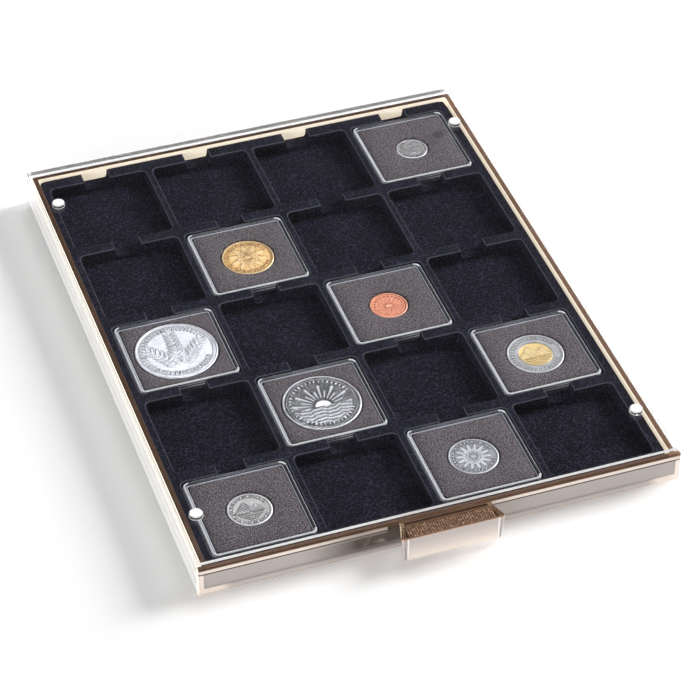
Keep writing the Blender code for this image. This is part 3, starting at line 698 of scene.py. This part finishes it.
# Flock fibres are too fine to show at this size, so their tufts are drawn 1 mm wide
tuft_width = 0.001
fibre = add_node(tree, "ShaderNodeTexNoise", Vector=where.outputs["Object"],
                 Scale=1 / tuft_width, Detail=3.0, Roughness=0.7)
brushed = add_node(tree, "ShaderNodeTexNoise", Vector=where.outputs["Object"], Scale=90.0,
                   Detail=4.0)
pile_colour = add_node(tree, "ShaderNodeValToRGB", Fac=fibre,
                       stops=((0.38, "040408"), (0.5, "100E1B"), (0.66, "3C3A50")))
worn = add_node(tree, "ShaderNodeMapRange", Value=brushed, From_Min=0.3, From_Max=0.7, To_Min=0.7,
                To_Max=1.15)
shaded = add_node(tree, "ShaderNodeVectorMath", {"operation": "SCALE"}, Vector=pile_colour,
                  Scale=worn)
place = add_node(tree, "ShaderNodeSeparateXYZ", Vector=where.outputs["Object"])
# A grey band just below the top edges is a painted sheen, where the pile catches the light
sheen_band_depth = 0.0012
near_rim = add_node(tree, "ShaderNodeMapRange", Value=place.outputs["Z"],
                    From_Min=insert_top - sheen_band_depth, From_Max=insert_top)
painted_sheen_bands = ((0.0, 0.0), (0.40, 0.0), (0.62, 0.55), (0.88, 0.55), (0.96, 0.0))
painted_sheen_band = add_node(tree, "ShaderNodeValToRGB", stops=painted_sheen_bands, Fac=near_rim)
shaded = add_node(tree, "ShaderNodeMix", colours, Factor=painted_sheen_band, A=shaded, B="70707C")
bump = add_node(tree, "ShaderNodeBump", Strength=0.7, Distance=0.0003, Height=fibre)
pile = add_node(tree, "ShaderNodeBsdfPrincipled", Base_Color=shaded, Roughness=0.95,
                Sheen_Weight=0.05, Sheen_Roughness=0.35, Sheen_Tint="8C90A8",
                Specular_IOR_Level=0.1, Normal=bump)
add_node(tree, "ShaderNodeOutputMaterial", Surface=pile)
dress(flocked_insert, velvet)
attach(flocked_insert, "drawer")
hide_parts("velvet_insert")


# Capsules. Two clear polystyrene halves that press together over an inlay. Their rounded
# rims and corners are painted with thin lavender-white lines as highlights, for the light that
# runs inside them and comes out there, most on the lid's left and front sides.
capsule_half, capsule_corner, capsule_floor, capsule_top = 0.025, 0.003, 0.00795, 0.0142
capsule_plate, skirt, fit_gap, upstand = 0.0007, 0.0008, 0.0003, 0.0009


def square_ring(x, y, inset, z, steps=8, smallest=0.0002):
    """Points of a square with round corners, some way inside a capsule's outline."""
    half, radius = capsule_half - inset, max(capsule_corner - inset, smallest)
    points = []
    for quarter, (side_x, side_y) in enumerate(((1, 1), (-1, 1), (-1, -1), (1, -1))):
        for step in range(steps + 1):
            turn = (quarter + step / steps) * math.pi / 2
            points.append((x + side_x * (half - radius) + radius * math.cos(turn),
                           y + side_y * (half - radius) + radius * math.sin(turn), z))
    return points


def skin(name, rings, smooth=False, bright=(), partly=None):
    """A closed solid through like rings; bright bands, or parts of bands, get material 1."""
    count = len(rings[0])
    points = [p for ring in rings for p in ring]
    faces = []
    for level in range(len(rings) - 1):
        for n in range(count):
            m = (n + 1) % count
            faces.append((level * count + n, level * count + m, (level + 1) * count + m,
                          (level + 1) * count + n))
    faces.append(tuple(reversed(range(count))))
    faces.append(tuple(range((len(rings) - 1) * count, len(rings) * count)))
    made = add_mesh(name, points, faces, smooth)
    for level in bright:
        for face in range(level * count, (level + 1) * count):
            made.data.polygons[face].material_index = 1
    for level, places in (partly or {}).items():
        for n in places:
            made.data.polygons[level * count + n].material_index = 1
    solid = bmesh.new()
    solid.from_mesh(made.data)
    bmesh.ops.recalc_face_normals(solid, faces=solid.faces)
    solid.to_mesh(made.data)
    solid.free()
    return made


capsule_plastic = clear_moulding("capsule_moulded_polystyrene", "FAFAFE", ior=1.4, lit=0.06,
                                 veil=0.1)
capsule_rim = painted_white_edge("capsule_rim_polystyrene", "F8F5FF", ior=1.4, share=0.95)
capsule_names = sorted(b for b in frame["bodies"] if b.startswith("capsule_"))
corner_points = 9
in_corners = [n for n in range(4 * corner_points) if n % corner_points != corner_points - 1]
# The lid's top band is painted white on its left and front sides too, as a highlight where the key
# lamp's light comes out
painted_lit_left_and_front = [2 * corner_points - 1, 3 * corner_points - 1]
side_lines = (0.0012, 0.0015, 0.0026, 0.0030)
for body_name in capsule_names:
    low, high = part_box(body_name + "_base")
    x, y = (low[0] + high[0]) / 2, (low[1] + high[1]) / 2
    wall_out, wall_in = skirt + fit_gap, skirt + fit_gap + upstand
    seat_z, ceiling_z = capsule_floor + capsule_plate, capsule_top - capsule_plate
    edge, rim_z, foot_z = 0.00015, ceiling_z - fit_gap, seat_z + fit_gap
    base_profile = (
        (edge, capsule_floor), (0, capsule_floor + edge), (0, seat_z - 2 * edge), (edge, seat_z),
        (wall_out, seat_z), (wall_out, rim_z - edge), (wall_out + edge, rim_z),
        (wall_in - 3 * edge, rim_z), (wall_in, rim_z - 2 * edge), (wall_in, seat_z))
    lid_profile = (
        (wall_out, capsule_top), (2 * edge, capsule_top), (0.6 * edge, capsule_top - 0.6 * edge),
        (0, capsule_top - 2 * edge), *((0, capsule_top - drop) for drop in side_lines),
        (0, foot_z + edge), (edge, foot_z), (skirt - edge, foot_z), (skirt, foot_z + edge),
        (skirt, ceiling_z))
    base = skin(body_name + "_bottom", [square_ring(x, y, *row) for row in base_profile],
                bright=(0, 2, 7))
    lid = skin(body_name + "_cover", [square_ring(x, y, *row) for row in lid_profile],
               bright=(1, 2, 4, 6, 8), partly={0: in_corners + painted_lit_left_and_front, 3: in_corners})
    for piece, node in ((base, "_base"), (lid, "_lid")):
        dress(piece, capsule_plastic, capsule_rim)
        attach(piece, body_name)
        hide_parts(body_name + node)


# Inlays. A slab of fine closed-cell grey foam with a round pocket cut for its coin. The cut
# leaves a soft lip, and the cells that it opens show as a fine grey and brown speckle.
foam_inset, foam_corner, pocket_play, cushion, cut_lip = 0.0023, 0.0009, 0.0008, 0.0003, 0.0004
foam, tree = new_material("closed_cell_grey_foam")
where = add_node(tree, "ShaderNodeTexCoord")
# The cells are finer than the picture can show, so they are drawn 0.6 mm wide
cell_width = 0.000625
cells_fine = add_node(tree, "ShaderNodeTexNoise", Vector=where.outputs["Object"],
                      Scale=1 / cell_width, Detail=2.0)
foam_tone = add_node(tree, "ShaderNodeValToRGB", Fac=cells_fine,
                     stops=((0.36, "3E3532"), (0.5, "6A6260"), (0.66, "A49C9A")))
bump = add_node(tree, "ShaderNodeBump", Strength=0.4, Distance=0.0002, Height=cells_fine)
body = add_node(tree, "ShaderNodeBsdfPrincipled", Base_Color=foam_tone, Roughness=0.9,
                Specular_IOR_Level=0.2, Normal=bump)
add_node(tree, "ShaderNodeOutputMaterial", Surface=body)


def foam_ring(x, y, share, radius, inset, z, count=96):
    """Points between a round pocket, at share 0, and the slab's square outline, at 1."""
    half, corner = capsule_half - foam_inset - inset, foam_corner
    points = []
    for n in range(count):
        turn = 2 * math.pi * (n + 0.5) / count
        c, s = math.cos(turn), math.sin(turn)
        reach = half / max(abs(c), abs(s))
        px, py = c * reach, s * reach
        over_x, over_y = abs(px) - (half - corner), abs(py) - (half - corner)
        if over_x > 0 and over_y > 0:
            length = math.hypot(over_x, over_y)
            shrink = corner / length if length > corner else 1
            px = math.copysign(half - corner + over_x * shrink, px)
            py = math.copysign(half - corner + over_y * shrink, py)
        points.append((x + c * radius * (1 - share) + px * share,
                       y + s * radius * (1 - share) + py * share, z))
    return points


for body_name in capsule_names:
    low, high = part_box(body_name + "_foam")
    coin_low, coin_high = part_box(body_name.replace("capsule", "coin"))
    x, y = (low[0] + high[0]) / 2, (low[1] + high[1]) / 2
    pocket = (coin_high[0] - coin_low[0]) / 2 + pocket_play
    floor_z, top_z = coin_low[2] - cushion, high[2]
    foam_profile = (
        (0, pocket * 0.5, 0, floor_z), (0, pocket, 0, floor_z), (0, pocket, 0, top_z - cut_lip),
        (0, pocket + 0.3 * cut_lip, 0, top_z - 0.3 * cut_lip), (0, pocket + cut_lip, 0, top_z),
        (1, pocket, cut_lip, top_z), (1, pocket, 0.3 * cut_lip, top_z - 0.3 * cut_lip),
        (1, pocket, 0, top_z - cut_lip), (1, pocket, 0, low[2]))
    inlay = skin(body_name + "_inlay", [foam_ring(x, y, *row) for row in foam_profile],
                 smooth=True)
    dress(inlay, foam)
    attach(inlay, body_name)
    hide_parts(body_name + "_foam")


# Coins. Struck discs of silver, copper-nickel, plated steel, bronze and copper. The die
# raises a rim, a ring of beads and a generic device; every step of the relief is drawn darker,
# and the flat field keeps more polish than the device.
def struck_metal(name, light, dark, field, field_rough, device_rough):
    """A struck metal whose mesh says how high the die raised it and where its steps are."""
    made, tree = new_material(name)
    # Tarnish lies in patches of about 4 mm; the grain of the metal is drawn 0.4 mm wide
    where = add_node(tree, "ShaderNodeTexCoord")
    tarnish = add_node(tree, "ShaderNodeTexNoise", Vector=where.outputs["Object"], Scale=260.0,
                       Detail=3.0)
    grain = add_node(tree, "ShaderNodeTexNoise", Vector=where.outputs["Object"], Scale=2400.0,
                     Detail=2.0)
    raised = add_node(tree, "ShaderNodeAttribute", {"attribute_name": "raised"})
    steps = add_node(tree, "ShaderNodeAttribute", {"attribute_name": "steps"})
    tone = add_node(tree, "ShaderNodeMix", colours, Factor=raised.outputs["Fac"], A=field, B=light)
    # Every step of the relief is drawn in the darker colour
    outline = add_node(tree, "ShaderNodeMapRange", Value=steps.outputs["Fac"], From_Min=0.15,
                       From_Max=0.9, To_Min=0.0, To_Max=0.9)
    tone = add_node(tree, "ShaderNodeMix", colours, Factor=outline, A=tone, B=dark)
    worn = add_node(tree, "ShaderNodeMapRange", Value=tarnish, From_Min=0.3, From_Max=0.7,
                    To_Min=0.84, To_Max=1.04)
    tone = add_node(tree, "ShaderNodeVectorMath", {"operation": "SCALE"}, Vector=tone, Scale=worn)
    rough = add_node(tree, "ShaderNodeMapRange", Value=raised.outputs["Fac"],
                     To_Min=field_rough, To_Max=device_rough)
    bump = add_node(tree, "ShaderNodeBump", Strength=0.15, Distance=5e-05, Height=grain)
    body = add_node(tree, "ShaderNodeBsdfPrincipled", Base_Color=tone, Metallic=1.0,
                    Roughness=rough, Normal=bump)
    add_node(tree, "ShaderNodeOutputMaterial", Surface=body)
    return made


satin_silver = struck_metal("struck_satin_silver", "FFFFFE", "868684", "F6F6F4", 0.36, 0.40)
proof_silver = struck_metal("struck_proof_silver", "FAFAF8", "343432", "8C8C8A", 0.26, 0.38)
coin_metals = {
    "coin_silver": satin_silver,
    "coin_nickel": struck_metal("struck_copper_nickel", "F6F4EE", "32302E", "AEACA5", 0.38, 0.42),
    "coin_steel": struck_metal("struck_plated_steel", "E2E2DE", "50504E", "ACACA8", 0.38, 0.42),
    "coin_gold": struck_metal("struck_aluminium_bronze", "FFE6B0", "8A5A22", "F8CE8A", 0.4, 0.42),
    "coin_copper": struck_metal("struck_copper", "FFBE9E", "84422A", "EA9E7A", 0.4, 0.42),
}
worn_silver = struck_metal("struck_worn_silver", "E0E0DE", "242422", "8E8E8C", 0.38, 0.42)
own_metals = {"4_2": proof_silver, "1_4": coin_metals["coin_nickel"], "5_3": worn_silver}
pale_bronze = struck_metal("struck_pale_bronze", "F6E2AE", "7A602E", "DCC084", 0.4, 0.44)


def rosette(r, a, petals):
    """A flower of two rows of domed petals, each with a vein and fine side lines."""
    high = np.zeros_like(r)
    for reach, shift, rise in ((0.68, 0.0, 0.8), (0.42, 0.5, 1.0)):
        turn = (a * petals / (2 * np.pi) + shift) % 1 - 0.5
        half = 0.46 * np.sin(np.pi * np.clip(r / reach, 0.02, 1)) ** 0.7
        across = np.abs(turn) / np.maximum(half, 0.001)
        dome = np.sqrt(np.clip(1 - across ** 2, 0, 1)) * (r < reach)
        lines = 0.86 + 0.14 * np.cos(60 * r - 9 * across)
        petal = rise * dome * lines * (1 - 0.45 * np.exp(-(turn / 0.035) ** 2))
        high = np.where(petal > 0.05, np.maximum(petal, high * (petal < 0.3)), high)
    button = np.sqrt(np.clip(1 - (r / 0.11) ** 2, 0, 1)) * (0.8 + 0.2 * np.cos(80 * r))
    return np.maximum(high, button)


def spray(r, a, pairs):
    """Three stems of small veined leaves that spread from the foot."""
    x, y = r * np.cos(a), r * np.sin(a) + 0.66
    high = np.zeros_like(r)
    for lean in (-0.62, 0.0, 0.62):
        for n in range(pairs + 1):
            along = 0.24 + 1.02 * n / pairs
            stem_x, stem_y = along * math.sin(lean * (0.5 + 0.5 * along)), along * math.cos(lean)
            length, width = 0.13 - 0.04 * n / pairs, 0.052 - 0.014 * n / pairs
            for side in ((-1, 1) if n < pairs else (0,)):
                turn = math.pi / 2 - lean - side * 0.85
                leaf_x = stem_x + length * math.cos(turn)
                leaf_y = stem_y + length * math.sin(turn)
                u = ((x - leaf_x) * math.cos(turn) + (y - leaf_y) * math.sin(turn)) / length
                v = ((y - leaf_y) * math.cos(turn) - (x - leaf_x) * math.sin(turn)) / width
                dome = np.sqrt(np.clip(1 - u ** 2 - v ** 2, 0, 1))
                vein = 1 - 0.5 * np.exp(-(v / 0.16) ** 2)
                high = np.maximum(high, dome * vein * (0.85 + 0.15 * np.cos(16 * u)))
    return high * (r < 0.72)


def sunrise(r, a, rays):
    """A half sun with rays over rows of waves."""
    x, y = r * np.cos(a), r * np.sin(a) + 0.12
    high = np.hypot(x, y)
    sun = np.clip((0.22 - high) / 0.04, 0, 1)
    turn = np.arctan2(y, x)
    far = 0.62 + 0.10 * np.cos(rays * turn / 2)
    ray = np.clip(0.4 + np.cos(rays * turn), 0, 1) ** 0.6 * (high > 0.26) * (high < far)
    hatch = 0.85 + 0.15 * np.cos(90 * high)
    crest = 0.5 + 0.5 * np.sin(58 * y + 1.8 * np.sin(12 * x) + 0.7 * np.sin(31 * x))
    wave = crest ** 0.6 * (r < 0.70) * (0.8 + 0.2 * np.cos(70 * x + 40 * y))
    return np.where(y > 0, np.maximum(sun, 0.8 * ray * hatch), 0.9 * wave)


def peaks(r, a, folds):
    """Two mountains over still water, inside a plain ring."""
    x, y = r * np.cos(a), r * np.sin(a)
    ridge = np.maximum(0.50 - 1.2 * np.abs(x + 0.16), 0.32 - 1.1 * np.abs(x - 0.30))
    rock = 0.6 + 0.4 * np.sin(folds * (x + 0.6 * y) * 9)
    land = np.clip((ridge - y) / 0.04, 0, 1) * (y > -0.14) * rock
    lines = np.clip(np.sin(60 * y) * 1.4, 0, 1) * (y < -0.18) * (np.abs(x) < 0.74 + y)
    return np.maximum(land, 0.8 * lines) * (r < 0.68)


def wreath(r, a, leaves):
    """Leaves set along a ring."""
    along = ((a * leaves / (2 * np.pi)) % 1 - 0.5) * 2 * np.pi / leaves * 0.74
    across = (r - 0.74) * np.where((a * leaves / (2 * np.pi)).astype(int) % 2, 1, -1)
    lean = along * 0.8 + across * 0.6
    wide = -along * 0.6 + across * 0.8
    return np.clip(1.2 - (lean / (1.5 / leaves)) ** 2 - (wide / (0.75 / leaves)) ** 2, 0, 1)


def bars_round(r, a, count):
    """Short plain bars set round the rim, where a real coin has its words."""
    step = np.abs(((a * count / (2 * np.pi)) % 1) - 0.5) * 2
    gap = ((a * 2 / np.pi + 0.3) % 4) < 0.5
    return ((step < 0.5) & (np.abs(r - 0.80) < 0.055) & ~gap) * 0.8


designs = {
    "1_4": (spray, 4, bars_round, 28), "2_2": (rosette, 10, bars_round, 40),
    "3_1": (spray, 9, bars_round, 52), "3_3": (sunrise, 12, wreath, 22),
    "4_2": (sunrise, 26, bars_round, 44), "4_4": (peaks, 4, bars_round, 36),
    "5_1": (peaks, 6, bars_round, 34), "5_3": (rosette, 14, bars_round, 32),
}


chamfer, die_depth, field_drop, point_gap, ring_gap = 0.0002, 0.0002, 0.00022, 0.00042, 0.0003


def strike(name, x, y, bottom, top, outer, inner, rim_width, relief):
    """A disc or a ring with a die-struck upper face."""
    count = max(96, int(2 * math.pi * outer / point_gap))
    turns = np.linspace(0, 2 * np.pi, count, endpoint=False)
    face = np.linspace(outer - rim_width - chamfer, max(inner, ring_gap),
                       max(12, int((outer - inner) / ring_gap)))
    radii = [outer - chamfer, outer, outer, outer - 0.75 * chamfer, outer - rim_width, *face]
    heights = [np.full(count, z) for z in (bottom, bottom + chamfer, top - chamfer, top, top)]
    spread_r, spread_a = np.meshgrid(face / outer, turns, indexing="ij")
    heights_in = relief(spread_r, spread_a)
    slope = np.hypot(np.gradient(heights_in, face, axis=0),
                     (np.roll(heights_in, -1, 1) - np.roll(heights_in, 1, 1))
                     / (2 * face[:, None] * (turns[1] - turns[0])))
    heights += list(top - field_drop + die_depth * heights_in)
    rings = [[(x + r * math.cos(t), y + r * math.sin(t), z) for t, z in zip(turns, h)]
             for r, h in zip(radii, heights)]
    raised = np.vstack([np.ones((5, count)), heights_in])
    steps = np.vstack([np.zeros((4, count)), np.full((1, count), 0.6),
                       np.clip(slope * math.sqrt(outer) * 0.0054, 0, 1)])
    if inner:
        rings += [[(x + inner * math.cos(t), y + inner * math.sin(t), bottom) for t in turns]]
        raised, steps = (np.vstack([rows, np.zeros((1, count))]) for rows in (raised, steps))
    made = skin(name, rings, smooth=True)
    for key, rows in (("raised", raised), ("steps", steps)):
        made.data.attributes.new(key, "FLOAT", "POINT").data.foreach_set("value", rows.ravel())
    return made


core_radius, ring_hole = 0.0084, 0.00855
for tag, (device, parts, ring, ring_parts) in designs.items():
    body_name, node = f"capsule_{tag}", f"coin_{tag}"
    low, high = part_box(node)
    x, y = (low[0] + high[0]) / 2, (low[1] + high[1]) / 2
    radius = (high[0] - low[0]) / 2
    metal = next(p["material_slot"] for p in frame["record"]["subparts"] if p["node"] == node)
    two_metals = node + "_core" in nodes

    def relief(r, a):
        """Height of the device, the ring pattern and the beads, from 0 to 1."""
        beads = np.clip(1.3 - np.hypot((r - 0.89) / 0.022,
                                       np.sin(a * round(radius * 2400)) * 1.1) ** 2, 0, 1)
        return np.clip(np.maximum.reduce([device(r * 0.9, a, parts) * (not two_metals),
                                          ring(r, a, ring_parts), beads * 0.8]), 0, 1)

    disc = strike(node + "_struck", x, y, low[2], high[2], radius,
                  inner=ring_hole if two_metals else 0, rim_width=0.0008, relief=relief)
    dress(disc, own_metals.get(tag, coin_metals[metal]))
    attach(disc, body_name)
    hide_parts(node)
    if two_metals:
        core_low, core_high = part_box(node + "_core")
        core = strike(node + "_core_struck", x, y, core_low[2], core_high[2], core_radius,
                      inner=0, rim_width=0.0004, relief=lambda r, a: device(r * 0.62, a, parts))
        dress(core, pale_bronze)
        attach(core, body_name)
        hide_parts(node + "_core")

low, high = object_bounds()
